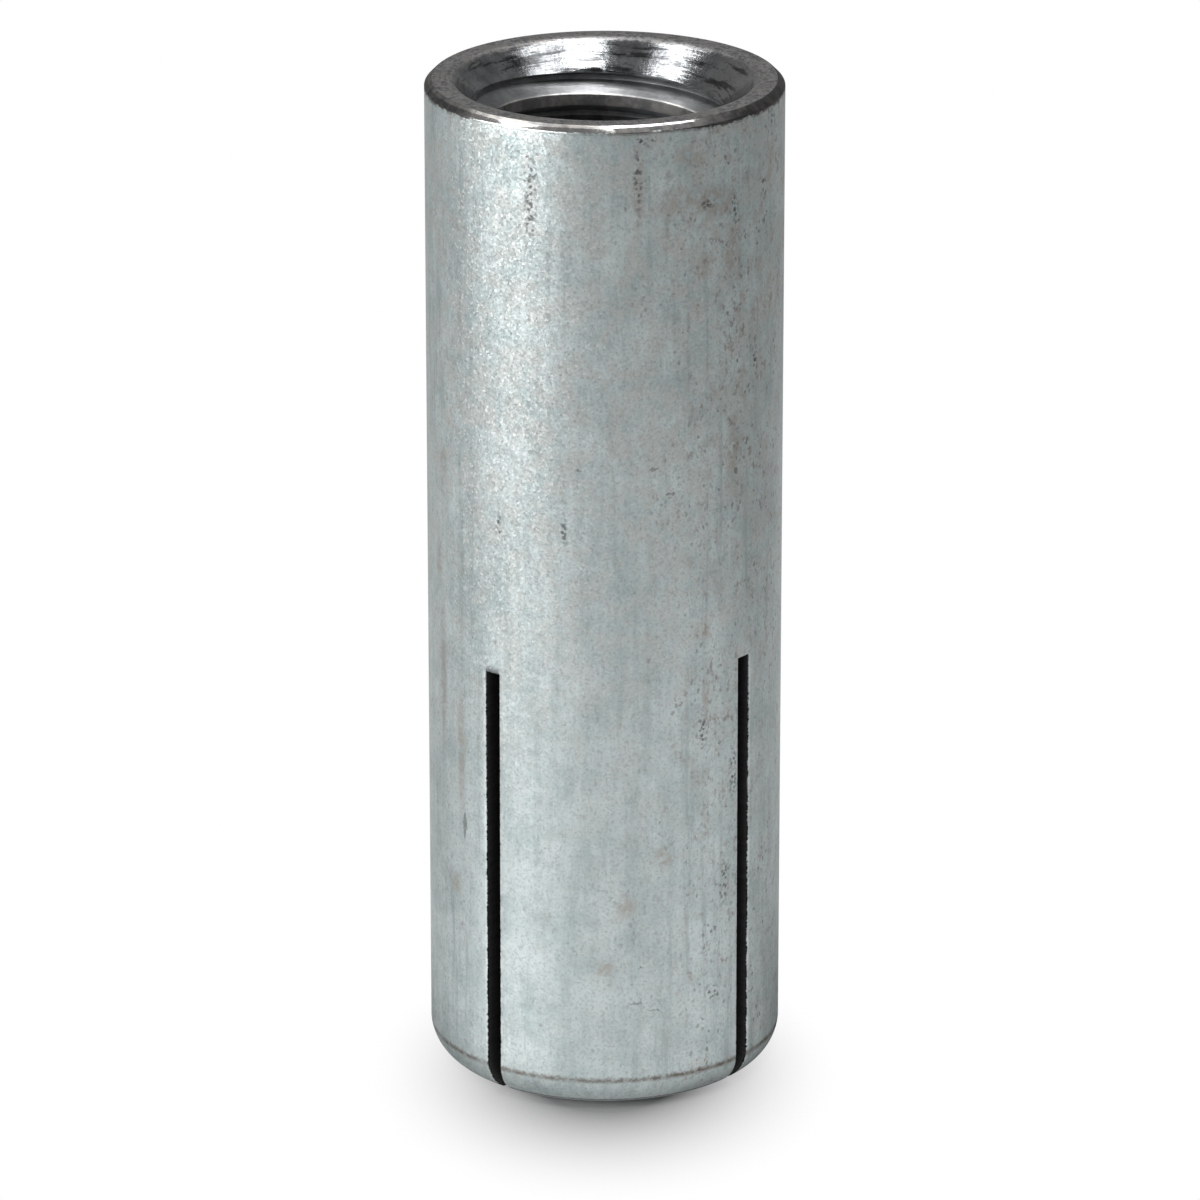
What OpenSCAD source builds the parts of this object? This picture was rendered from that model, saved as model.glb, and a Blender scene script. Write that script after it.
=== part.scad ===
// Drop-in expansion anchor for concrete, as supplied: a slotted steel shell with a tapped mouth,
// and a tapered expander plug waiting inside it under the thread.
// Millimetres. The anchor stands on its slotted end, its axis is Z and the mouth is up.

/* [Shell] */

// Outside diameter, a sliding fit in a 7/8 inch drilled hole
shell_d = 22; // [19:0.1:26]
// Length from the slotted end to the rim of the mouth
shell_length = 63.5; // [58:0.5:80]
// Width of the 45 degree chamfer on the outer edge of the rim
rim_chamfer = 0.4; // [0.1:0.05:0.8]

/* [Mouth and thread] */

// Width of the rim, from the outside to the edge of the countersink
rim_w = 1.7; // [1:0.05:2.4]
// Included angle of the countersink
countersink_angle = 90; // [70:1:120]
// Diameter of the thread at its roots, for a 5/8 inch rod
thread_d = 15.875; // [14:0.025:17.8]
// Pitch of the thread, 11 turns to the inch
thread_pitch = 2.309; // [1.8:0.001:2.8]
// How far the tap drill opens the crests beyond the standard form
crest_relief = 0.11; // [0:0.01:0.3]
// Depth of the thread below the rim
thread_depth = 25.4; // [20:0.1:30]
// Direction in which the thread starts, turned from X
thread_start = 87; // [0:1:359]
// Cut the helical thread, or leave the plain wall of the tap drill, which takes a plug gauge
cut_thread = false; // [true, false]

/* [Plug bore] */

// Step from the crests of the thread in to the smooth bore that holds the plug
bore_step = 0.3; // [0.1:0.05:0.8]
// Height of the smooth bore, from the end of the thread down to the taper
bore_length = 8.1; // [7:0.1:12]
// Diameter of the hole in the slotted end
exit_d = 8; // [6:0.1:10]
// Height of the straight hole in the slotted end, below the taper
exit_length = 6; // [3:0.1:10]

/* [Slotted end] */

// Width of the saw cuts
slot_w = 1; // [0.6:0.05:1.6]
// Height of the cut that runs along Y
first_cut_h = 28; // [20:0.1:32]
// Height of the cut that runs along X
second_cut_h = 28.5; // [20:0.1:32]
// Height of the swaged nose
nose_h = 2; // [1:0.1:4]
// How far the nose draws in at the end face
nose_inset = 1.3; // [0.5:0.05:2]
// Fullness of the nose: near 0 it is a straight cone, at 1 it rounds into the side with no edge
nose_fullness = 0.87; // [0.2:0.01:1]

/* [Expander plug] */

// Length of the plug
plug_length = 16; // [12:0.5:20]
// Height of the straight land above the plug's taper
plug_land = 6; // [4:0.1:8]
// Chamfer on both ends of the plug
plug_chamfer = 0.6; // [0.2:0.05:1.2]
// Gap all round between the plug and its bore
plug_gap = 0.05; // [0.02:0.01:0.15]

/* [Hidden] */

zinc = [0.69, 0.73, 0.73];
plain_steel = [0.46, 0.46, 0.45];

// Small overlap that carries each cut past the face that it opens
past = 0.5;
$fn = 96;

// Depth of a 60 degree thread of the standard form, in pitches
form_depth = 5 / 8 * cos(30);

shell_r = shell_d / 2;
major_r = thread_d / 2;
minor_r = major_r - form_depth * thread_pitch + crest_relief;
bore_r = minor_r - bore_step;
exit_r = exit_d / 2;

// Levels along the axis, from the mouth down
countersink_r = shell_r - rim_w;
countersink_depth = (countersink_r - minor_r) / tan(countersink_angle / 2);
thread_top_z = shell_length - countersink_depth;
thread_end_z = shell_length - thread_depth;
taper_top_z = thread_end_z - bore_length;
taper_end_z = exit_length;
taper_slope = (bore_r - exit_r) / (taper_top_z - taper_end_z);

// Points of a circular arc from a to b that bulges by crown to the right of the way from a to b
function arc(a, b, crown, steps) =
    let (
        chord = norm(b - a),
        along = (b - a) / chord,
        out = [along[1], -along[0]],
        radius = (chord * chord / 4 + crown * crown) / (2 * crown),
        centre = (a + b) / 2 - out * (radius - crown),
        half = asin(chord / 2 / radius)
    )
    [
        for (i = [0:steps])
            let (t = half * (2 * i / steps - 1))
            centre + radius * (cos(t) * out + sin(t) * along)
    ];

// Half section of the turned shell, before it is tapped and slotted; the drill that opens the tapped
// hole leaves a 45 degree step above the plug's bore
module shell_section() {
    nose_chord = norm([nose_inset, nose_h]);
    nose_crown = nose_fullness * nose_chord / 2 * tan(atan2(nose_inset, nose_h) / 2);
    nose = arc([shell_r - nose_inset, 0], [shell_r, nose_h], nose_crown, 8);
    rim = [[shell_r, shell_length - rim_chamfer], [shell_r - rim_chamfer, shell_length]];
    inside = [
        [countersink_r, shell_length],
        [minor_r, thread_top_z],
        [minor_r, thread_end_z],
        [bore_r, thread_end_z - bore_step],
        [bore_r, taper_top_z],
        [exit_r, taper_end_z],
        [exit_r, 0]
    ];
    polygon(concat(nose, rim, inside));
}

// Steps of the thread in each turn, and the turns over which it fades out at the bottom
thread_steps = 24;
fade_turns = 0.75;
// The cutter starts above the countersink's lower edge, so the thread runs out into the cone
lead_in = thread_pitch;
thread_turns = (thread_top_z + lead_in - thread_end_z) / thread_pitch;
thread_rings = round(thread_turns * thread_steps);
root_flat = thread_pitch / 8;

// The four corners of the thread groove at step i, in a right-hand helix from the mouth down
function groove(i) =
    let (
        angle = -360 * i / thread_steps,
        z = thread_top_z + lead_in - thread_pitch * i / thread_steps,
        left = (thread_rings - i) / thread_steps,
        inner = minor_r - past,
        root = minor_r + (major_r - minor_r) * min(1, left / fade_turns) - (left <= 0 ? past / 4 : 0),
        half_root = root_flat / 2,
        half_mouth = half_root + (root - inner) * tan(30)
    )
    [
        [inner * cos(angle), inner * sin(angle), z - half_mouth],
        [root * cos(angle), root * sin(angle), z - half_root],
        [root * cos(angle), root * sin(angle), z + half_root],
        [inner * cos(angle), inner * sin(angle), z + half_mouth]
    ];

// Solid that cuts the thread: the groove's section swept down its helix
module thread_cutter() {
    sides = 4;
    points = [for (i = [0:thread_rings]) each groove(i)];
    walls = [
        for (i = [0:thread_rings - 1], k = [0:sides - 1])
            let (a = i * sides + k, b = i * sides + (k + 1) % sides)
            each [[a, b + sides, b], [a, a + sides, b + sides]]
    ];
    first = [[0, 1, 2], [0, 2, 3]];
    last = [for (face = first) [for (j = [2:-1:0]) face[j] + thread_rings * sides]];
    polyhedron(points, concat(walls, first, last));
}

// A saw cut across the slotted end, along Y
module saw_cut(height) {
    translate([-slot_w / 2, -shell_r - past, -past])
        cube([slot_w, shell_d + 2 * past, height + past]);
}

module expansion_shell() {
    color(zinc)
    difference() {
        rotate_extrude() shell_section();
        if (cut_thread) rotate([0, 0, thread_start]) thread_cutter();
        saw_cut(first_cut_h);
        rotate([0, 0, 90]) saw_cut(second_cut_h);
    }
}

module expander_plug() {
    land_r = bore_r - plug_gap;
    taper_h = plug_length - plug_land;
    end_r = land_r - taper_slope * taper_h;
    end_z = taper_top_z - taper_h;
    top_z = end_z + plug_length;
    color(plain_steel)
    rotate_extrude()
    polygon([
        [0, end_z],
        [end_r - plug_chamfer, end_z],
        [end_r + taper_slope * plug_chamfer, end_z + plug_chamfer],
        [land_r, taper_top_z],
        [land_r, top_z - plug_chamfer],
        [land_r - plug_chamfer, top_z],
        [0, top_z]
    ]);
}

expansion_shell();
expander_plug();
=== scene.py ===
import math

import bmesh
import bpy
import numpy as np
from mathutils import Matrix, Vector


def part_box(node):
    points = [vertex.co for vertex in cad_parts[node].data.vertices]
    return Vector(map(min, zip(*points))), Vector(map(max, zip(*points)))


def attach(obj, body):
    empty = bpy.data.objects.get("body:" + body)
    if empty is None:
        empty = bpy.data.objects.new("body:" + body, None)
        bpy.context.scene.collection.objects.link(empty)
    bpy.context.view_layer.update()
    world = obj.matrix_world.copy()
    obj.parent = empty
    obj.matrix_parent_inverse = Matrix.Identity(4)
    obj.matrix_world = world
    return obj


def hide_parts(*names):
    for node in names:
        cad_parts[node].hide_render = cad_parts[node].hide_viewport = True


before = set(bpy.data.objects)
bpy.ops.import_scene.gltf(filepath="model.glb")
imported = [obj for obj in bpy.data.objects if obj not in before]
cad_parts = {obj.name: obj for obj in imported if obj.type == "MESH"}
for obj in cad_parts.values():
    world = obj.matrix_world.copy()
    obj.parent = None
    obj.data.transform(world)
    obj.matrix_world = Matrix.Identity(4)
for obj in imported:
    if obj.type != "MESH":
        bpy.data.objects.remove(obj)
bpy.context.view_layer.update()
bpy.context.scene.view_settings.view_transform = "Standard"


# Expansion shell: a steel sleeve turned from bar, countersunk and tapped at the mouth, bored for its plug
# and sawn crosswise into four leaves, whose ends are swaged in to a nose. It is then zinc plated all over.

MM = 0.001
_, (shell_r, _, shell_h) = np.array(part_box("expansion_shell")) / MM

# Mouth, in millimetres from here on: the rim with its eased chamfer, the worn lip and the countersink
rim_chamfer = 0.4
rim_corner = 0.06
rim_w = 1.7
lip_round = 0.9
countersink_angle = 90

# Thread: a 60 degree form, which the tap drill opens a little at the crests and which fades out at its end
thread_root_r = 15.875 / 2
thread_pitch = 2.309
flank_slope = math.radians(30)
form_depth = 5 / 8 * math.cos(flank_slope) * thread_pitch
crest_relief = 0.11
root_flat = thread_pitch / 8
thread_corner = 0.05
thread_depth = 25.4
thread_start = math.radians(87)
thread_fade_turns = 0.75

# Bore of the plug, and the hole in the end that the taper leads to
bore_step = 0.3
bore_length = 8.1
exit_r = 4.0
exit_h = 6.0

# Slotted end: the nose, and the saw cuts with their width at the end, above the nose and at the top
nose_h = 2.0
nose_inset = 1.3
nose_fullness = 0.87
slot_tops = np.tile([28.5, 28.0], 2)
slot_end_w, slot_nose_w, slot_top_w = 0.62, 0.95, 1.05
slot_edge_round = 0.09

# Steps of the mesh
corner_steps = 4
nose_steps = 12
lip_steps = 8
flat_steps = 4
wall_steps = 6
slot_columns = 5
leaf_columns = 41
slotted_row_gap = 3
plain_rows = 9
plain_row_margin = 1.5
bore_middle = 34
merge_distance = 0.0005
crease_angle = 32

leaves = len(slot_tops)
quarter = 2 * math.pi / leaves
countersink_r = shell_r - rim_w
widening = math.tan(math.radians(countersink_angle / 2))
thread_crest_r = thread_root_r - form_depth + crest_relief
thread_top = shell_h - (countersink_r - thread_crest_r) / widening
thread_end = shell_h - thread_depth
bore_r = thread_crest_r - bore_step
taper_top = thread_end - bore_length


def bore_radius(z):
    """Radius of the plug's bore: straight at the end hole, then a cone that widens to the full bore."""
    return np.interp(z, [exit_h, taper_top], [exit_r, bore_r])


def nose_profile(steps):
    """Radius and height along the nose: a circular arc from the end face to the side of the shell, which
    at a fullness of 0 would be a straight cone and at 1 would run into the side with no edge."""
    chord = math.hypot(nose_inset, nose_h)
    crown = nose_fullness * chord / 2 * math.tan(math.atan2(nose_inset, nose_h) / 2)
    radius = (chord**2 / 4 + crown**2) / (2 * crown)
    along = np.array([nose_inset, nose_h]) / chord
    out = np.array([along[1], -along[0]])
    centre = np.array([shell_r - nose_inset / 2, nose_h / 2]) - out * (radius - crown)
    half = math.asin(chord / 2 / radius)
    turn = np.linspace(-half, half, steps + 1)[:, None]
    return (centre + radius * (np.cos(turn) * out + np.sin(turn) * along)).T


def arc_profile(centre_r, centre_z, radius, start, end, steps):
    """Radius and height along a circular arc, between two angles in degrees."""
    turn = np.radians(np.linspace(start, end, steps + 1))
    return np.array([centre_r + radius * np.cos(turn), centre_z + radius * np.sin(turn)])


def eased_profile(corners, corner_round):
    """Radius and height along straight lines between the corners, each of which a parabola rounds off."""
    corners = np.array(corners)
    profile = [corners[:1]]
    for before, corner, after in zip(corners[:-2], corners[1:-1], corners[2:]):
        start = corner + (before - corner) / np.linalg.norm(before - corner) * corner_round
        end = corner + (after - corner) / np.linalg.norm(after - corner) * corner_round
        t = np.linspace(0, 1, corner_steps + 1)[:, None]
        profile.append((1 - t) ** 2 * start + 2 * t * (1 - t) * corner + t**2 * end)
    return np.concatenate([*profile, corners[-1:]]).T


def smooth_max(a, b, corner):
    """The larger of two values, with the corner where they meet rounded over a width."""
    share = np.clip(0.5 + 0.5 * (a - b) / corner, 0, 1)
    return b + (a - b) * share + corner * share * (1 - share)


# Columns of the grid round the shell: some across each slot, and the rest along the leaf that follows it,
# closer together where the slot's edge is rounded
slot_across = np.linspace(-1, 1, slot_columns)
leaf_arc = shell_r * quarter - slot_nose_w
leaf_edge = np.array([0.03, 0.09, 0.3])
leaf_middle = np.linspace(leaf_edge[-1], leaf_arc - leaf_edge[-1], leaf_columns + 2)[1:-1]
leaf_share = np.concatenate([leaf_edge, leaf_middle, leaf_arc - leaf_edge[::-1]]) / leaf_arc
column_slot = np.append(np.repeat(np.arange(leaves), len(slot_across) + len(leaf_share)), leaves)
column_across = np.append(np.tile(np.append(slot_across, np.ones(len(leaf_share))), leaves), -1)
column_share = np.append(np.tile(np.append(np.zeros(len(slot_across)), leaf_share), leaves), 0)
column_near = np.where(column_share < 0.5, column_slot, column_slot + 1) % leaves
column_away = np.minimum(column_share, 1 - column_share) * leaf_arc
over_slot = (column_share[:-1] == 0) & (column_share[1:] == 0)


def slot_width(z):
    """Width of the saw cuts at a height: they close up a little downwards, and more in the swaged nose."""
    return np.interp(z, [0, nose_h, slot_tops.max()], [slot_end_w, slot_nose_w, slot_top_w])


def column_angle(radius, z):
    """Angle of each column: beside a slot it keeps its distance from the slot's middle plane, and along a
    leaf it takes its share of the angle that is left between two slots."""
    half_width = slot_width(z) / 2
    leaf_angle = quarter - 2 * np.arcsin(half_width / radius)
    across_slot = np.arcsin(column_across * half_width / radius)
    return column_slot * quarter + across_slot + column_share * leaf_angle


def placed(radius, angle, z):
    """Points from cylinder coordinates, in metres."""
    radius, angle, z = np.broadcast_arrays(radius, angle, z)
    return np.stack([radius * np.cos(angle), radius * np.sin(angle), z], axis=-1) * MM


def worn_edge(z):
    """How far the outside falls away beside a slot: a quarter round along the slot's sides and its top."""
    away = np.hypot(column_away, np.clip(z - slot_tops[column_near], 0, None))
    left = np.clip(slot_edge_round - away, 0, None)
    return slot_edge_round - np.sqrt(slot_edge_round**2 - left**2)


def grid_faces(rows, columns, keep=None):
    """Corner numbers of the faces between the points of a grid, without those that keep leaves out."""
    corner = np.arange(rows * columns).reshape(rows, columns)
    faces = np.stack([corner[:-1, :-1], corner[:-1, 1:], corner[1:, 1:], corner[1:, :-1]], axis=-1)
    return faces[np.ones(faces.shape[:2], bool) if keep is None else keep]


def solid_piece(name, patches, materials):
    """One closed mesh from patches (points on a grid, faces kept, material number). The patches share
    their border points, which are merged; edges sharper than the crease angle stay sharp."""
    points, faces, zones, first = [], [], [], 0
    for grid, keep, zone in patches:
        rows, columns = grid.shape[:2]
        patch_faces = grid_faces(rows, columns, keep)
        points.append(grid.reshape(-1, 3))
        faces.append(patch_faces + first)
        zones.append(np.full(len(patch_faces), zone))
        first += rows * columns
    mesh = bpy.data.meshes.new(name)
    mesh.from_pydata(np.concatenate(points), [], np.concatenate(faces))
    for material in materials:
        mesh.materials.append(material)
    mesh.polygons.foreach_set("material_index", np.concatenate(zones).astype(np.int32))
    shape = bmesh.new()
    shape.from_mesh(mesh)
    bmesh.ops.remove_doubles(shape, verts=shape.verts, dist=merge_distance * MM)
    bmesh.ops.dissolve_degenerate(shape, edges=shape.edges, dist=merge_distance * MM)
    bmesh.ops.recalc_face_normals(shape, faces=shape.faces)
    shape.to_mesh(mesh)
    shape.free()
    mesh.shade_smooth()
    mesh.set_sharp_from_angle(angle=math.radians(crease_angle))
    piece = bpy.data.objects.new(name, mesh)
    bpy.context.scene.collection.objects.link(piece)
    return piece


# Outside: nose, side with the slots, chamfer of the rim, flat rim and the worn lip of the countersink
slot_top_rows = np.append(0, leaf_edge[:2])
side_z = np.concatenate(
    [
        np.arange(slotted_row_gap, slot_tops.min(), slotted_row_gap),
        *(top + slot_top_rows for top in np.unique(slot_tops)),
        np.linspace(slot_tops.max() + plain_row_margin, shell_h - plain_row_margin, plain_rows),
    ]
)
lip_turn = 90 - countersink_angle / 2
lip_flat_r = countersink_r + lip_round * math.tan(math.radians(lip_turn / 2))
nose_r, nose_z = nose_profile(nose_steps)
rim_r, rim_z = eased_profile(
    [
        (shell_r, side_z[-1]),
        (shell_r, shell_h - rim_chamfer),
        (shell_r - rim_chamfer, shell_h),
        (lip_flat_r, shell_h),
    ],
    rim_corner,
)[:, 1:-1]
lip_r, lip_z = arc_profile(lip_flat_r, shell_h - lip_round, lip_round, 90, 90 + lip_turn, lip_steps)
flat_r = np.linspace(rim_r[-1], lip_flat_r, flat_steps + 1)[1:-1]
outside_r = np.concatenate([nose_r, np.full(len(side_z), shell_r), rim_r, flat_r, lip_r])[:, None]
outside_z = np.concatenate([nose_z, side_z, rim_z, np.full(len(flat_r), shell_h), lip_z])[:, None]
slotted_z = outside_z[outside_z <= slot_tops.max()][:, None]
outer_r = outside_r - worn_edge(outside_z)

# Over the rim the columns turn from the outside's angles to the bore's
inwards = np.clip((rim_r[-1] - outside_r) / (rim_r[-1] - lip_r[-1]), 0, 1)
inwards[outside_z < shell_h / 2] = 0
inside_angle = column_angle(bore_radius(slot_tops.max()), slot_tops.max())
outside_angle = (1 - inwards) * column_angle(outer_r, outside_z) + inwards * inside_angle


def leaf_faces(z):
    """Which faces of the rows at these heights are metal: all but those that lie over an open slot."""
    return ~(over_slot & (z[1:] <= slot_tops[column_slot[:-1]]))


def through_wall(z, share):
    """Points in the slotted wall at a share of the way from the bore to the outside."""
    outer = outer_r[np.searchsorted(slotted_z[:, 0], np.ravel(z))]
    radius = bore_radius(z) + share * (outer - bore_radius(z))
    return placed(radius, column_angle(radius, z), z)


# Inside above the slots: the tapped hole, whose thread runs out into the countersink. Its rows climb with
# the thread; in each turn they lie at these heights above and below the middle of the groove.
flank_points = np.array([0.09, 0.14, 0.2, 0.36, 0.52, 0.68, 0.76, 0.81, 0.87, 0.99])
thread_points = np.concatenate([-flank_points[::-1], [0], flank_points, [thread_pitch / 2]])
groove_turns = np.arange(-13, 4)[:, None]
climb = thread_pitch * (inside_angle - thread_start) / (2 * math.pi)


def tapped_hole(z):
    """Radius of the tapped hole: a 60 degree groove with a flat root an eighth of the pitch wide, faded out
    at the end of the tap, or the cone of the countersink where that is wider."""
    off_groove = (z - climb - thread_top + thread_pitch / 2) % thread_pitch - thread_pitch / 2
    turns_left = (z - off_groove - thread_end) / thread_pitch
    fade = np.clip(turns_left / thread_fade_turns, 0, 1)
    root = thread_crest_r + (thread_root_r - thread_crest_r) * fade
    flank = root - (np.abs(off_groove) - root_flat / 2) / math.tan(flank_slope)
    thread = -smooth_max(-root, -smooth_max(flank, thread_crest_r, thread_corner), thread_corner)
    thread = np.where(z > thread_end, thread, thread_crest_r)
    cone = thread_crest_r + (z - thread_top) * widening
    return smooth_max(thread, cone, thread_corner)


groove_rows = thread_top + (groove_turns * thread_pitch + thread_points).ravel()[:, None]
thread_z = np.clip(groove_rows + climb, thread_end, lip_z[-1])
thread_r = np.where(thread_z > thread_end, tapped_hole(thread_z), thread_crest_r)
bore_z = np.array([thread_end, thread_end - bore_step, bore_middle, taper_top, slot_tops.max()])[:, None]
bore_rows_r = np.append(thread_crest_r, bore_radius(bore_z[1:, 0]))[:, None]

wall_share = np.linspace(0, 1, wall_steps + 1)
PLATED, TURNED, SAWN = range(3)
rim_row = np.flatnonzero(outside_z[:, 0] == shell_h)[0]
outside = placed(outer_r, outside_angle, outside_z)
patches = [
    (outside[: rim_row + 1], leaf_faces(outside_z)[:rim_row], PLATED),
    (outside[rim_row:], leaf_faces(outside_z)[rim_row:], TURNED),
    (placed(thread_r, inside_angle, thread_z), None, TURNED),
    (placed(bore_rows_r, inside_angle, bore_z), None, TURNED),
    (through_wall(slotted_z, 0), leaf_faces(slotted_z), TURNED),
    (
        np.concatenate([through_wall(np.zeros((1, 1)), share) for share in wall_share]),
        np.tile(~over_slot, (wall_steps, 1)),
        PLATED,
    ),
]

# Walls of the saw cuts: both sides and the top of each
wall = np.stack([through_wall(slotted_z, share) for share in wall_share], axis=2)
for number, top in enumerate(slot_tops):
    last = np.searchsorted(slotted_z[:, 0], top)
    columns = np.flatnonzero((column_slot == number) & (column_share == 0))
    for side in (columns[0], columns[-1]):
        patches.append((wall[: last + 1, side], None, SAWN))
    patches.append((wall[last, columns], None, SAWN))


class Finish:
    """A value that changes over a finish. Arithmetic on it adds Math nodes to the finish's material."""

    def __init__(self, tree, socket=None):
        self.tree = tree
        self.socket = socket

    def node(self, kind, settings=None, sockets=None, out=0):
        """Adds a node: its settings first, then the values or links of its sockets. Gives one output."""
        made = self.tree.nodes.new(kind)
        for name, value in (settings or {}).items():
            setattr(made, name, value)
        for name, value in (sockets or {}).items():
            if isinstance(value, Finish):
                self.tree.links.new(value.socket, made.inputs[name])
            else:
                made.inputs[name].default_value = value
        return Finish(self.tree, made.outputs[out] if len(made.outputs) else None)

    def math(self, operation, first, second=0.0):
        """One Math node on one or two values."""
        return self.node("ShaderNodeMath", {"operation": operation}, {0: first, 1: second})

    def __add__(self, other):
        return self.math("ADD", self, other)

    def __sub__(self, other):
        return self.math("SUBTRACT", self, other)

    def __rsub__(self, other):
        return self.math("SUBTRACT", other, self)

    def __mul__(self, other):
        return self.math("MULTIPLY", self, other)

    def __truediv__(self, other):
        return self.math("DIVIDE", self, other)

    def __pow__(self, other):
        return self.math("POWER", self, other)

    def __abs__(self):
        return self.math("ABSOLUTE", self)

    __radd__ = __add__
    __rmul__ = __mul__

    def between(self, low, high):
        """0 below low and 1 above high, with a smooth rise between them; high may be the smaller."""
        return self.node(
            "ShaderNodeMapRange",
            {"interpolation_type": "SMOOTHSTEP"},
            {"Value": self, "From Min": low, "From Max": high},
        )

    def ramp(self, low, high, start, end):
        """A straight rise from start at low to end at high, level beyond them."""
        return self.node(
            "ShaderNodeMapRange",
            {},
            {"Value": self, "From Min": low, "From Max": high, "To Min": start, "To Max": end},
        )

    def near(self, place, reach):
        """1 at a place and 0 beyond its reach on both sides."""
        return abs(self - place).between(reach, 0.0)

    def vector(self, operation, other=None, out=0):
        """Vector Math on these coordinates; SCALE takes one number for all three."""
        sockets = {0: self}
        if operation == "SCALE":
            sockets[3] = other
        elif other is not None:
            sockets[1] = other
        return self.node("ShaderNodeVectorMath", {"operation": operation}, sockets, out)

    def axes(self):
        """The three coordinates by themselves."""
        return [self.node("ShaderNodeSeparateXYZ", {}, {0: self}, out=axis) for axis in "XYZ"]

    def noise(self, scale, detail, roughness):
        """Soft noise on these coordinates, about 0.5 on average."""
        sockets = {"Vector": self, "Scale": scale, "Detail": detail, "Roughness": roughness}
        return self.node("ShaderNodeTexNoise", {}, sockets)

    def cells(self, scale, out):
        """Random cells on these coordinates: the distance to a cell's middle, or the cell's own colour."""
        return self.node("ShaderNodeTexVoronoi", {}, {"Vector": self, "Scale": scale}, out)

    def blend(self, first, second):
        """One colour where this is 0, another where it is 1."""
        return self.node("ShaderNodeMix", {"data_type": "RGBA"}, {0: self, 6: first, 7: second}, out=2)

    def tint(self, mask, colour, strength=1.0):
        """This colour turned towards another one where the mask is 1, as far as the strength says."""
        return (mask * strength).blend(self, colour)


def new_finish(name):
    """A new material and the place on the piece that it is painted at, in millimetres."""
    material = bpy.data.materials.new(name)
    material.use_nodes = True
    material.node_tree.nodes.clear()
    start = Finish(material.node_tree)
    return material, start.node("ShaderNodeTexCoord", out="Object").vector("SCALE", 1 / MM)


def paint(place, **sockets):
    """Ends a material: a Principled shader with these socket values, on the material's output."""
    names = {name.replace("_", " ").title(): value for name, value in sockets.items()}
    shader = place.node("ShaderNodeBsdfPrincipled", {}, names)
    place.node("ShaderNodeOutputMaterial", {}, {"Surface": shader})


# Azimuth of the photograph's camera in degrees from minus Y, and the same direction in degrees from X
view_azimuth = 38.85
front_angle = view_azimuth - 90


def turned_front(place):
    """These coordinates with X towards the front, where the photograph was taken from."""
    turn = {"Vector": place, "Angle": -math.radians(front_angle)}
    return place.node("ShaderNodeVectorRotate", {"rotation_type": "Z_AXIS"}, turn)


def round_the_axis(place):
    """Distance from the axis, angle from the front in degrees (to the right is positive) and height."""
    x, y, z = turned_front(place).axes()
    return (x * x + y * y) ** 0.5, y.math("ARCTAN2", y, x) * math.degrees(1), z


def lathe_rings(away, angle, height, **noise):
    """Noise on a distance, an angle and a height that are scaled so that it is drawn out round the axis."""
    return away.node("ShaderNodeCombineXYZ", {}, {"X": away, "Y": angle, "Z": height}).noise(**noise)


def grey(level, warmth=0.0):
    """A grey, a little brown where the warmth is above 0 and a little blue where it is below."""
    return (level * (1 + warmth), level, level * (1 - warmth), 1)


# Marks on the plate: angle from the front in degrees, height, half width, half height
pit_streaks = [
    (-24, 58.8, 0.6, 4.4),
    (10.5, 60.2, 0.4, 3.0),
    (33, 24.5, 0.5, 1.5),
    (37, 7.0, 0.6, 0.8),
    (42, 14.0, 0.5, 2.0),
    (45, 57.5, 0.5, 1.1),
    (61, 58.3, 0.6, 1.3),
    (66, 62.3, 0.4, 0.8),
    (34, 58.2, 0.8, 0.5),
    (46, 21.2, 0.5, 2.2),
    (-13, 37.9, 0.3, 1.3),
    (-36, 37.6, 0.25, 1.2),
    (56, 47.3, 0.35, 1.8),
    (11, 62.5, 0.4, 0.35),
    (14.5, 62.5, 0.45, 0.45),
]
brown_smears = [
    (10.5, 59.8, 0.6, 4.0),
    (34, 30.9, 0.5, 0.5),
    (27, 58.6, 2.4, 1.2),
    (37, 58.2, 1.6, 1.4),
    (44, 55.0, 0.7, 3.0),
    (28, 61.5, 1.2, 1.0),
    (46, 42.0, 0.9, 3.5),
    (34.5, 26.8, 0.4, 1.3),
    (0, 9.4, 1.0, 0.8),
    (7, 13.5, 0.9, 1.0),
    (19, 16.5, 0.8, 0.9),
    (-53.7, 22.5, 0.6, 6.0),
    (-57, 13.2, 0.9, 1.0),
    (-64, 40.6, 0.6, 1.2),
    (-68, 33.8, 0.6, 1.8),
    (-65, 26.5, 0.7, 5.5),
]
nicks = [
    (61, 56.0, 0.2, 0.2),
    (-52, 17.3, 0.22, 1.1),
    (39.5, 6.7, 0.16, 0.14),
    (10, 7.0, 0.55, 0.06),
    (16, 6.5, 0.45, 0.06),
    (11.8, 9.4, 0.25, 0.06),
    (-40.8, 14.4, 0.18, 0.2),
    (15.8, 41.9, 0.4, 0.12),
    (21.3, 40.2, 0.4, 0.08),
    (46.5, 40.8, 0.2, 0.3),
    (-8.4, 41.9, 0.25, 0.1),
]

# Where a mark starts and where it is full, in its half sizes, and the sizes of the plate's worn edges and of
# the shade and highlights painted along them
mark_fade = (1.1, 0.2)
cut_shade_w, cut_shade_soft = 0.08, 0.05
glint_line_off, glint_line_w = 0.16, 0.1
slot_top_over, slot_top_under = 0.1, 0.2
bare_soft = 0.05
border_drop, border_w = 0.07, 0.09
black_foot_drop, dulled_w, rim_edge_soft = 0.15, 0.12, 0.08
witness_drop, witness_w = 0.12, 0.3
end_edge_h, end_edge_w = 0.2, 0.17
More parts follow.
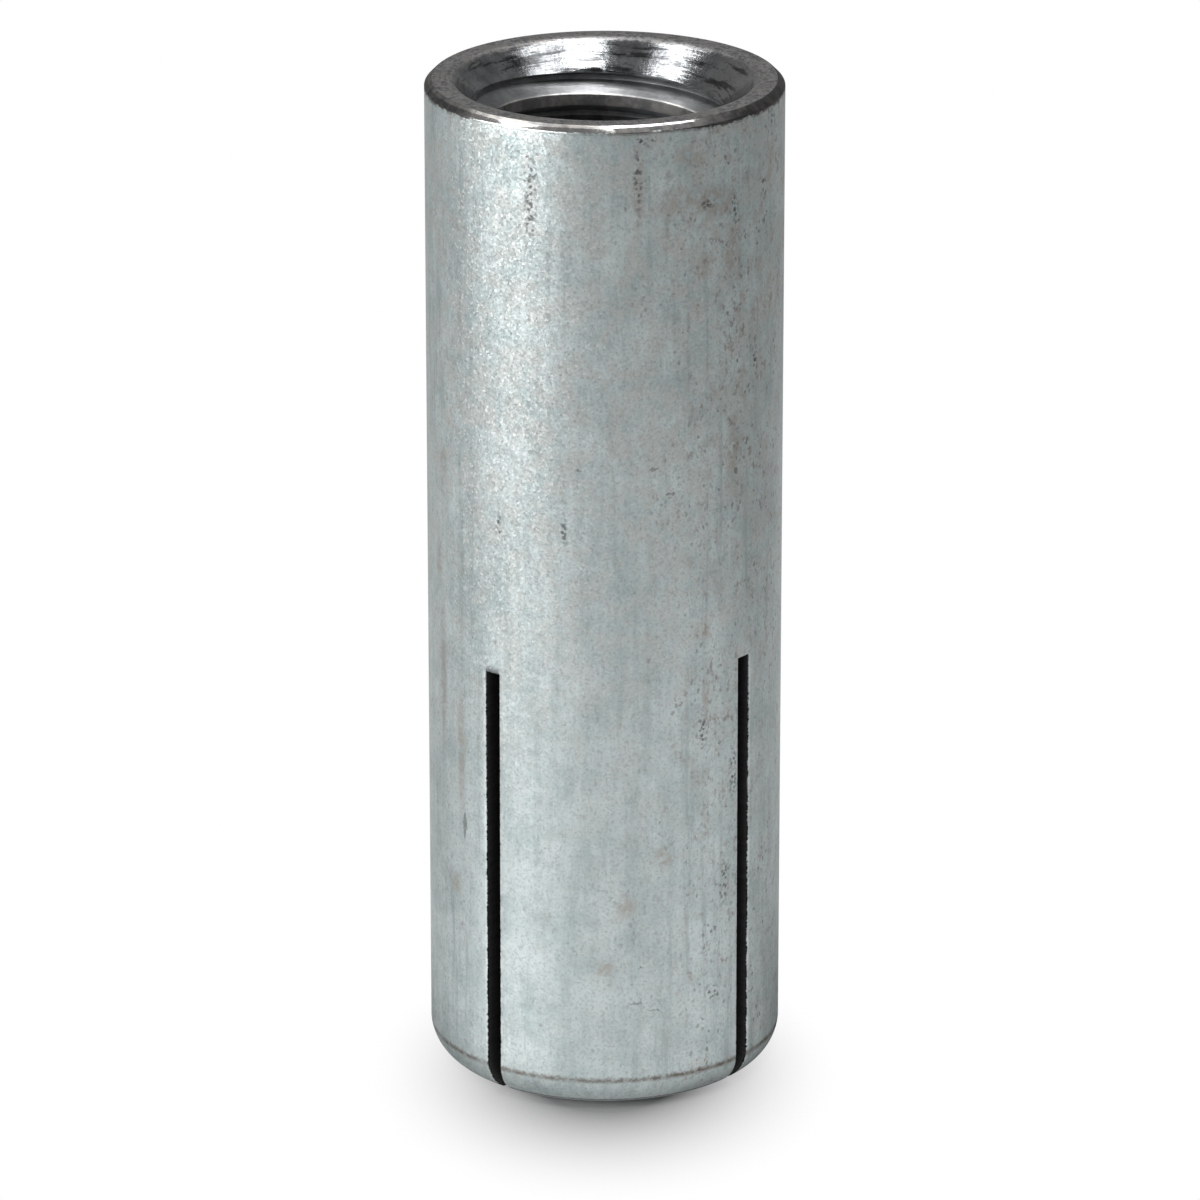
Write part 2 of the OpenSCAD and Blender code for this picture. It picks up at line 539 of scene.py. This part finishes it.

# Colours of the plate, of the marks on it, of its worn edges and of the shade and glints painted on them
zinc_dark, zinc_light = (0.46, 0.54, 0.54, 1), (0.65, 0.72, 0.72, 1)
zinc_warm = (0.575, 0.60, 0.58, 1)
streak_grey = (0.36, 0.41, 0.41, 1)
grain_grey = grey(0.34, -0.04)
stain_brown = (0.44, 0.40, 0.36, 1)
rust_brown = (0.31, 0.29, 0.275, 1)
smear_brown = grey(0.35, 0.11)
speck_grey = grey(0.19, 0.03)
pit_grey = grey(0.15, -0.02)
nick_grey = grey(0.14)
# Painted shade beside the saw cuts, and a painted highlight line beside that
cut_shade_black, burr_glint_light = grey(0.03), grey(0.8)
bare_dark, bare_light = grey(0.50, 0.03), grey(0.62, 0.01)
border_grey = grey(0.14)
# Painted shade on the rim's chamfer, at its sides and right foot
shade_black_dark, shade_black_light = grey(0.03, -0.06), grey(0.08, 0.06)
dulled_dark, dulled_light = grey(0.26, 0.02), grey(0.42, 0.06)
witness_brown = grey(0.15, 0.15)
end_edge_grey = grey(0.08, 0.03)
# Crystals: painted glints, and darker crystals
crystal_glint, crystal_dark = grey(0.98), grey(0.26)


def marked(marks, angle, height):
    """1 inside soft ovals at these places on the plate, from the distance to each oval's middle, counted
    in half widths across and half heights up."""
    total = 0.0
    for mark_angle, mark_height, half_w, half_h in marks:
        across = (angle - mark_angle) * (math.radians(1) * shell_r / half_w)
        up = (height - mark_height) / half_h
        total = ((across * across + up * up) ** 0.5).between(*mark_fade) + total
    return total


def saw_cut_shade_and_glint(place, height, uneven):
    """Masks of the painted shade along the burr of the saw cuts and of the painted highlight, a light line,
    beside it, from the distance to the nearest cut: the smaller of X and Y, less half the cut's width, and a
    little uneven."""
    x, y, _ = place.axes()
    half_cut = height.ramp(0, nose_h, slot_end_w / 2, slot_nose_w / 2)
    from_cut = x.math("MINIMUM", abs(x), abs(y)) - half_cut + uneven
    slotted = height.between(slot_tops.max() + slot_top_over, slot_tops.min() - slot_top_under)
    # Painted shade next to the cut, and a painted highlight line a little further out
    burr_and_shade = from_cut.between(cut_shade_w, cut_shade_w - cut_shade_soft) * slotted
    return burr_and_shade, from_cut.near(glint_line_off, glint_line_w) * slotted


def chamfer_wear_and_shade(angle, height, coarse, fine):
    """Masks of the rim's chamfer: bare metal above a ragged border that comes lower at both sides, that
    border, painted shade that makes it black at the sides and along the right foot, and dull along the upper
    edge on the left."""
    chamfer_foot = shell_h - rim_chamfer
    to_sides = abs(angle + 8).between(30, 46)
    ragged = coarse * (to_sides * 0.4 + 0.35) + fine * 0.2 + to_sides * 0.16
    bare = (height + ragged).between(chamfer_foot - bare_soft, chamfer_foot + bare_soft)
    border = (height + ragged).near(chamfer_foot - border_drop, border_w)
    foot_top = shell_h - black_foot_drop
    right_foot = angle.between(-5, 8) * (height + ragged * 0.4).between(foot_top + rim_edge_soft, foot_top)
    # Painted shade: black at the sides and along the right foot of the chamfer
    shade_black = (to_sides + right_foot + fine * 0.6 + coarse * 1.2).between(0.4, 0.75) * bare
    dulled_foot = shell_h - dulled_w
    dulled = (height + fine * 0.1).between(dulled_foot - rim_edge_soft, dulled_foot)
    dulled = dulled * (1 - to_sides * 0.8) * angle.between(4, -6)
    return bare, border, shade_black, dulled


def zinc_plate():
    """Bright zinc: satin blue-white metal with a sparkle of fine crystals, partly painted glints, clouded,
    streaked and stained, with painted shade along the saw cuts and on the rim's chamfer.
    """
    material, place = new_finish("zinc_plate")
    _, angle, height = round_the_axis(place)
    drawn = place.vector("MULTIPLY", (1, 1, 0.7))
    clouds = place.noise(scale=0.33, detail=5, roughness=0.6)
    mottle = place.noise(scale=1.5, detail=5, roughness=0.65)
    grain = place.noise(scale=5.5, detail=3, roughness=0.6)
    pitted = drawn.noise(scale=4, detail=2, roughness=0.55)
    streaks = place.vector("MULTIPLY", (1, 1, 0.06)).noise(scale=1.7, detail=4, roughness=0.65)
    # The same noises about 0, for ragged outlines
    coarse, fine, spotty = (noise - 0.5 for noise in (mottle, grain, pitted))
    ragged_place = (angle + coarse * 2.5, height + fine * 0.5)
    # Most wear is on the right and the back, and some on the left
    worn_side = angle.between(0, 45) * angle.between(130, 80) + abs(angle).between(105, 145) * 0.55
    left_side = angle.between(-40, -55) * angle.between(-150, -110)

    # Clouds, warm blotches, streaks and grain of the clean plate
    cloudy = clouds * 0.5 + mottle * 0.2 + streaks * 0.3
    colour = cloudy.between(0.36, 0.64).blend(zinc_dark, zinc_light)
    warm = place.noise(scale=0.7, detail=4, roughness=0.6).between(0.44, 0.6)
    colour = colour.tint(warm, zinc_warm, strength=height.between(8, 42) * 0.6 + 0.1)
    streaked = worn_side * 0.3 + left_side * 0.4 + 0.15
    colour = colour.tint(streaks.between(0.45, 0.3), streak_grey, strength=streaked)
    colour = colour.tint(grain.between(0.54, 0.3), grain_grey, strength=0.45)

    # Brown stain, mostly high on the worn side, and spots of rust
    stained = worn_side * (height.between(30, 56) * 0.45 + 0.4) + 0.15
    stain = drawn.noise(scale=1, detail=5, roughness=0.7).between(0.49, 0.66) * stained
    colour = colour.tint(stain, stain_brown, strength=0.55)
    rust = drawn.noise(scale=2.6, detail=4, roughness=0.6).between(0.54, 0.68)
    rust = rust * drawn.noise(scale=0.5, detail=3, roughness=0.6).between(0.42, 0.58)
    colour = colour.tint(rust, rust_brown, strength=worn_side * 0.75 + left_side * 0.3 + 0.1)

    # Specks, smears, pits and nicks
    gathered = drawn.noise(scale=0.45, detail=4, roughness=0.6).between(0.44, 0.6)
    gathered = gathered * (worn_side * 0.65 + 0.35)
    speck = (drawn.cells(2.2, "Distance") + spotty * 0.8 + fine * 0.5).between(0.28, 0.08)
    colour = colour.tint(speck * gathered, speck_grey, strength=0.7)
    smear = marked(brown_smears, *ragged_place) * mottle.between(0.36, 0.58)
    colour = colour.tint(smear, smear_brown, strength=0.6)
    pits = (place.cells(3.4, "Distance") + fine * 0.9 + spotty * 0.5).between(0.56, 0.28)
    colour = colour.tint(marked(pit_streaks, *ragged_place) * pits, pit_grey, strength=0.9)
    nick = (marked(nicks, *ragged_place) * 1.6 + grain * 0.4).between(0.5, 0.9)
    colour = colour.tint(nick, nick_grey, strength=0.6)

    # Painted shade: the cuts' dark carried raggedly onto the plate along their burr, with a painted
    # highlight, a broken light line, beside it
    burr_and_shade, burr_glint_line = saw_cut_shade_and_glint(place, height, coarse * 0.18 + fine * 0.22)
    colour = colour.tint(burr_glint_line * mottle.between(0.4, 0.6), burr_glint_light, strength=0.65)
    colour = colour.tint(burr_and_shade, cut_shade_black)

    # Burnished chamfer of the rim, with painted shade black at its sides and along its right foot
    bare, border, shade_black, dulled = chamfer_wear_and_shade(angle, height, coarse, fine)
    patchy = mottle.between(0.35, 0.65)
    colour = colour.tint(bare, mottle.between(0.3, 0.7).blend(bare_dark, bare_light))
    colour = colour.tint(border * mottle.between(0.36, 0.56), border_grey, strength=0.6)
    colour = colour.tint(shade_black, patchy.blend(shade_black_dark, shade_black_light), strength=0.95)
    colour = colour.tint(dulled, patchy.blend(dulled_dark, dulled_light))

    # Brown witness line where the swaging die ended, and the dark edge of the end face
    witness = (height + fine * 0.35).near(nose_h - witness_drop, witness_w)
    witness_patches = mottle.between(0.35, 0.6) * 0.6 + worn_side * 0.3 + 0.25
    colour = colour.tint(witness, witness_brown, strength=witness_patches)
    end_edge = (height + fine * 0.2).near(end_edge_h, end_edge_w)
    colour = colour.tint(end_edge, end_edge_grey, strength=0.85)

    # Each crystal of the plate has its own shade and tilt, most on the upper left, in the band where the
    # left lamp's highlight falls; the bright crystals there are painted glints
    plated = 1 - bare
    left_highlight_band = angle.between(-68, -45) * angle.between(8, -18) * height.between(14, 48)
    sparkle = (left_highlight_band * 0.8 + 0.2) * plated
    crystal = place.cells(7.5, "Color")
    bright, dull, _ = crystal.axes()
    colour = colour.tint(bright.between(0.86, 0.93), crystal_glint, strength=sparkle * 0.45)
    colour = colour.tint(dull.between(0.12, 0.05), crystal_dark, strength=sparkle * 0.4 + gathered * 0.1)
    tilt = crystal.vector("SUBTRACT", (0.5, 0.5, 0.5)).vector("SCALE", sparkle * 0.05 + plated * 0.04)
    facing = place.node("ShaderNodeNewGeometry", out="Normal").vector("ADD", tilt).vector("NORMALIZE")

    rough = mottle * 0.12 + streaks * 0.06 - sparkle * 0.04 + 0.33
    rough = rough - bare * 0.29 + dulled * 0.25 + burr_and_shade * 0.3 + shade_black * 0.3
    paint(place, base_color=colour, metallic=1.0, roughness=rough, normal=facing)
    return material


# Where the finishes of the mouth start and where they are full: the rim's up from the top, the thread's
# behind the cone and the crests' out from their radius; and the depth of the lathe's rings
rim_fade = (-0.3, -0.02)
thread_fade = (0.04, 0.15)
crest_fade = (0.14, 0.05)
ring_depth = 0.05

# Colours of the turned mouth
cone_dark, cone_light = grey(0.20, -0.03), grey(0.36, -0.03)
cone_right = grey(0.42)
ring_black, ring_speck = grey(0.04, -0.03), grey(0.05, -0.03)
thread_dark, thread_light = grey(0.21, -0.02), grey(0.31, -0.02)
crest_dark, crest_light = grey(0.36), grey(0.60, 0.03)
rim_grey, rim_brown, rim_speck = grey(0.40), grey(0.26, 0.06), grey(0.10)


def turned_steel():
    """Thinly plated steel of the rim, the countersink and the thread, marked by the rings of the lathe."""
    material, place = new_finish("turned_mouth")
    away, angle, height = round_the_axis(place)
    rings = lathe_rings(away * 3.2, angle * 0.045, height * 0.3, scale=1, detail=5, roughness=0.62)
    clouds = place.noise(scale=0.8, detail=4, roughness=0.65)
    grain = place.noise(scale=5, detail=3, roughness=0.6)
    rim = (height - shell_h + (clouds - 0.5) * 0.3).between(*rim_fade)
    behind_cone = away - (height - thread_top) * widening - thread_crest_r
    thread = behind_cone.between(*thread_fade) * (1 - rim)
    crest = (away - thread_crest_r).between(*crest_fade)

    # Countersink, with dark dashes along the lathe's rings
    colour = clouds.between(0.3, 0.7).blend(cone_dark, cone_light)
    colour = colour.tint(angle.between(48, 78) * angle.between(140, 100), cone_right, strength=0.8)
    colour = colour.tint(rings.between(0.49, 0.4), ring_black, strength=0.8)
    colour = colour.tint((grain * 0.6 + rings * 0.4).between(0.5, 0.42), ring_speck, strength=0.45)
    # Thread with lighter crests, and the flat rim with brown patches and dark specks
    colour = colour.tint(thread, clouds.between(0.3, 0.7).blend(thread_dark, thread_light))
    colour = colour.tint(thread * crest, clouds.between(0.4, 0.6).blend(crest_dark, crest_light))
    colour = colour.tint(rim, rim_grey)
    colour = colour.tint(rim * clouds.between(0.4, 0.62), rim_brown, strength=0.7)
    colour = colour.tint(rim * (grain * 0.6 + clouds * 0.4).between(0.54, 0.42), rim_speck, strength=0.8)

    relief = rings * 0.8 + grain * 0.2
    bump = {"Strength": 0.8, "Distance": ring_depth * MM, "Height": relief}
    facing = place.node("ShaderNodeBump", {}, bump)
    rough = rings * 0.12 + thread * 0.25 + rim * 0.28 + 0.08
    paint(place, base_color=colour, metallic=1.0, roughness=rough, normal=facing)
    return material


# Painted shade: the saw cuts' walls are nearly black, for the shade deep in the narrow cuts
shaded_sawn_dark, shaded_sawn_light = grey(0.06), grey(0.16)


def sawn_steel():
    """Walls of the saw cuts: dull and scored, and nearly black, which is painted shade for the deep narrow
    cuts.
    """
    material, place = new_finish("sawn_slot")
    scores = place.vector("MULTIPLY", (0.4, 0.4, 3)).noise(scale=1.5, detail=3, roughness=0.6)
    paint(place, base_color=scores.blend(shaded_sawn_dark, shaded_sawn_light), metallic=1.0, roughness=0.6)
    return material


shell = solid_piece("shell", patches, [zinc_plate(), turned_steel(), sawn_steel()])
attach(shell, "root")
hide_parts("expansion_shell")


# Expander plug: a plain steel pin with a tapered end, turned or cold headed in one piece and left unplated.
# It waits in the bore under the thread, on the start of the taper, until a setting tool drives it down.

(_, _, plug_foot), (plug_r, _, plug_top) = np.array(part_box("expander_plug")) / MM
plug_land = 6.0
plug_chamfer = 0.6
plug_corner = 0.15
plug_sides = 96
plug_ring_depth = 0.03
steel_dark, steel_light = grey(0.30, 0.02), grey(0.40, 0.03)

taper_slope = (bore_r - exit_r) / (taper_top - exit_h)
plug_taper_top = plug_top - plug_land
plug_end_r = plug_r - taper_slope * (plug_taper_top - plug_foot)


def plain_steel():
    """Bare turned steel, grey and a little oily, with the lathe's faint rings."""
    material, place = new_finish("plain_steel")
    away, angle, height = round_the_axis(place)
    rings = lathe_rings(away * 4, angle * 0.01, height * 4, scale=1.2, detail=4, roughness=0.6)
    clouds = place.noise(scale=0.6, detail=4, roughness=0.6)
    colour = clouds.between(0.3, 0.7).blend(steel_dark, steel_light)
    bump = {"Strength": 0.5, "Distance": plug_ring_depth * MM, "Height": rings}
    facing = place.node("ShaderNodeBump", {}, bump)
    paint(place, base_color=colour, metallic=1.0, roughness=rings * 0.2 + 0.28, normal=facing)
    return material


plug_profile_r, plug_profile_z = eased_profile(
    [
        (0, plug_foot),
        (plug_end_r - plug_chamfer, plug_foot),
        (plug_end_r + taper_slope * plug_chamfer, plug_foot + plug_chamfer),
        (plug_r, plug_taper_top),
        (plug_r, plug_top - plug_chamfer),
        (plug_r - plug_chamfer, plug_top),
        (0, plug_top),
    ],
    plug_corner,
)
plug_turn = np.linspace(0, 2 * math.pi, plug_sides + 1)
plug_grid = placed(plug_profile_r[:, None], plug_turn, plug_profile_z[:, None])
plug = solid_piece("plug", [(plug_grid, None, 0)], [plain_steel()])
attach(plug, "root")
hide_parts("expander_plug")


# Studio: a pale floor under soft light. A tall box of light stands on the left of the camera, and three
# boxes hang over the object, one on its left and two on its right, for the countersink and the rim. The
# metal also mirrors painted pools of light, white patches that glow on the floor for mirror rays only, on
# its right, left and back, and painted shade round its foot and beside its right.

view_elevation = 19.64
view_distance = 485.4
view_height = 29.72
frame_pixels = 1200
focal_pixels = 7791.6
axis_offset_pixels = 4.7
sensor_width = 36
nearest_seen = 10

# Boxes of light: name, turn from the camera, elevation, distance, width, height, level
light_boxes = [
    ("left_box", -60, 14, 600, 540, 700, 1.95),
    ("high_left_box", -104, 61, 500, 220, 130, 0.25),
    ("high_right_box", 90, 80, 500, 300, 155, 0.58),
    ("low_right_box", 87, 60, 500, 170, 120, 0.11),
]

# Floor: its half side, the gap under the anchor, and the greys of the paper, dark for the painted shadow, of
# its mirror image and of the sky
floor_half = 2000
floor_drop = 0.02
paper_grey, mirrored_grey, sky_grey = 0.22, 0.22, 0.24

# Painted shadow round the anchor's foot, an oval where the camera sees the dark paper under the lamps
# instead of white: a little to the front, and narrower than it is deep
shadow_reach = 5
shadow_stretch = (1, 1.38, 1)
shadow_start, shadow_end = 6.4, 21
shadow_falloff = 1.9

# Painted pools of light on the floor, which only the metal mirrors: turn from the camera, reach, radius
# where a patch starts, radius where it is full
right_light_pool, right_level = (20, 60, 115, 45), 0.58
left_light_pool, left_level = (-118, 115, 90, 30), 0.28
back_light_pool, back_level = (162, 85, 80, 25), 0.3
# Painted shade in the mirrored floor, in the same columns: beside the right pool, and round the object's
# foot
outside_painted_right_shadow = (115, 30, 6, 28)
outside_painted_foot_shade = (180, 8, 13, 24)


def towards(azimuth, elevation):
    """Unit vector from the object to a place at an azimuth and an elevation, in degrees."""
    turn, rise = math.radians(azimuth), math.radians(elevation)
    return Vector((math.sin(turn) * math.cos(rise), -math.cos(turn) * math.cos(rise), math.sin(rise)))


def aimed(name, data, azimuth, elevation, distance):
    """An object placed round the anchor's middle and turned to look at it."""
    made = bpy.data.objects.new(name, data)
    direction = towards(azimuth, elevation)
    made.location = Vector((0, 0, view_height * MM)) + direction * distance * MM
    made.rotation_euler = direction.to_track_quat("Z", "Y").to_euler()
    bpy.context.scene.collection.objects.link(made)
    return made


def soft_box(name, azimuth, elevation, distance, width, height, level):
    """A panel of light; level is how bright a white card at the object would be, facing it. The power for
    that is the level times the squares of pi and of the distance."""
    data = bpy.data.lights.new(name, "AREA")
    data.shape = "RECTANGLE"
    data.size, data.size_y = width * MM, height * MM
    data.energy = level * math.pi**2 * (distance * MM) ** 2
    return aimed(name, data, azimuth, elevation, distance)


camera = aimed("camera", bpy.data.cameras.new("camera"), view_azimuth, view_elevation, view_distance)
camera.data.sensor_width = sensor_width
camera.data.lens = focal_pixels / frame_pixels * sensor_width
camera.data.shift_x = -axis_offset_pixels / frame_pixels
camera.data.clip_start = nearest_seen * MM
bpy.context.scene.camera = camera

for box_name, box_turn, *box in light_boxes:
    soft_box(box_name, view_azimuth + box_turn, *box)

corners = [(x * floor_half * MM, y * floor_half * MM, 0) for x, y in ((-1, -1), (1, -1), (1, 1), (-1, 1))]
floor_mesh = bpy.data.meshes.new("floor")
floor_mesh.from_pydata(corners, [], [(0, 1, 2, 3)])
floor = bpy.data.objects.new("floor", floor_mesh)
floor.location.z = -floor_drop * MM
bpy.context.scene.collection.objects.link(floor)


def pale_floor():
    """Grey paper. The camera sees it white but for a painted shadow oval close to the object, where the
    paper shows under the lamps; the metal mirrors it grey with white patches, painted pools of light, and
    dark in painted shade round the object's foot and beside its right."""
    material, place = new_finish("pale_floor")
    rays = ("Is Camera Ray", "Is Glossy Ray", "Is Transmission Ray")
    camera_ray, glossy_ray, transmission_ray = (place.node("ShaderNodeLightPath", out=ray) for ray in rays)

    def distance_from(turn, reach, stretch=(1, 1, 1)):
        """Distance from a place on the floor, at an angle to the right of the camera and a reach."""
        off = turned_front(place.vector("SUBTRACT", towards(view_azimuth + turn, 0) * reach))
        return off.vector("MULTIPLY", stretch).vector("LENGTH", out="Value")

    def patch(turn, reach, start, full):
        """A soft round patch on the floor: 0 at one distance from its middle and 1 at another."""
        return distance_from(turn, reach).between(start, full)

    paper = place.node("ShaderNodeBsdfDiffuse", {}, {"Color": grey(paper_grey)})
    white = place.node("ShaderNodeEmission", {}, {"Color": grey(1.0), "Strength": 1.0})
    # Painted shadow: inside the oval the camera sees the dark paper, outside it white
    from_shadow = distance_from(0, shadow_reach, shadow_stretch)
    painted_shadow = from_shadow.ramp(shadow_start, shadow_end, 1, 0) ** shadow_falloff
    # Painted pools of light for the mirror rays, less painted shade beside the right and round the foot
    right = patch(*right_light_pool) * patch(*outside_painted_right_shadow) * right_level
    left, back = patch(*left_light_pool) * left_level, patch(*back_light_pool) * back_level
    brightest = place.math("MAXIMUM", right, place.math("MAXIMUM", left, back))
    mirrored_painted_light = (brightest + mirrored_grey) * patch(*outside_painted_foot_shade)
    mirror_ray = place.math("MAXIMUM", glossy_ray, transmission_ray)
    shown = camera_ray * (1 - painted_shadow) + mirror_ray * mirrored_painted_light
    mixed = place.node("ShaderNodeMixShader", {}, {0: shown, 1: paper, 2: white})
    place.node("ShaderNodeOutputMaterial", {}, {"Surface": mixed})
    return material


floor_mesh.materials.append(pale_floor())

world = bpy.data.worlds.new("studio")
bpy.context.scene.world = world
world.use_nodes = True
world.node_tree.nodes.clear()
sky = Finish(world.node_tree)
sky_colour = sky.node("ShaderNodeLightPath", out="Is Camera Ray").blend(grey(sky_grey), grey(1.0))
background = sky.node("ShaderNodeBackground", {}, {"Color": sky_colour})
sky.node("ShaderNodeOutputWorld", {}, {"Surface": background})
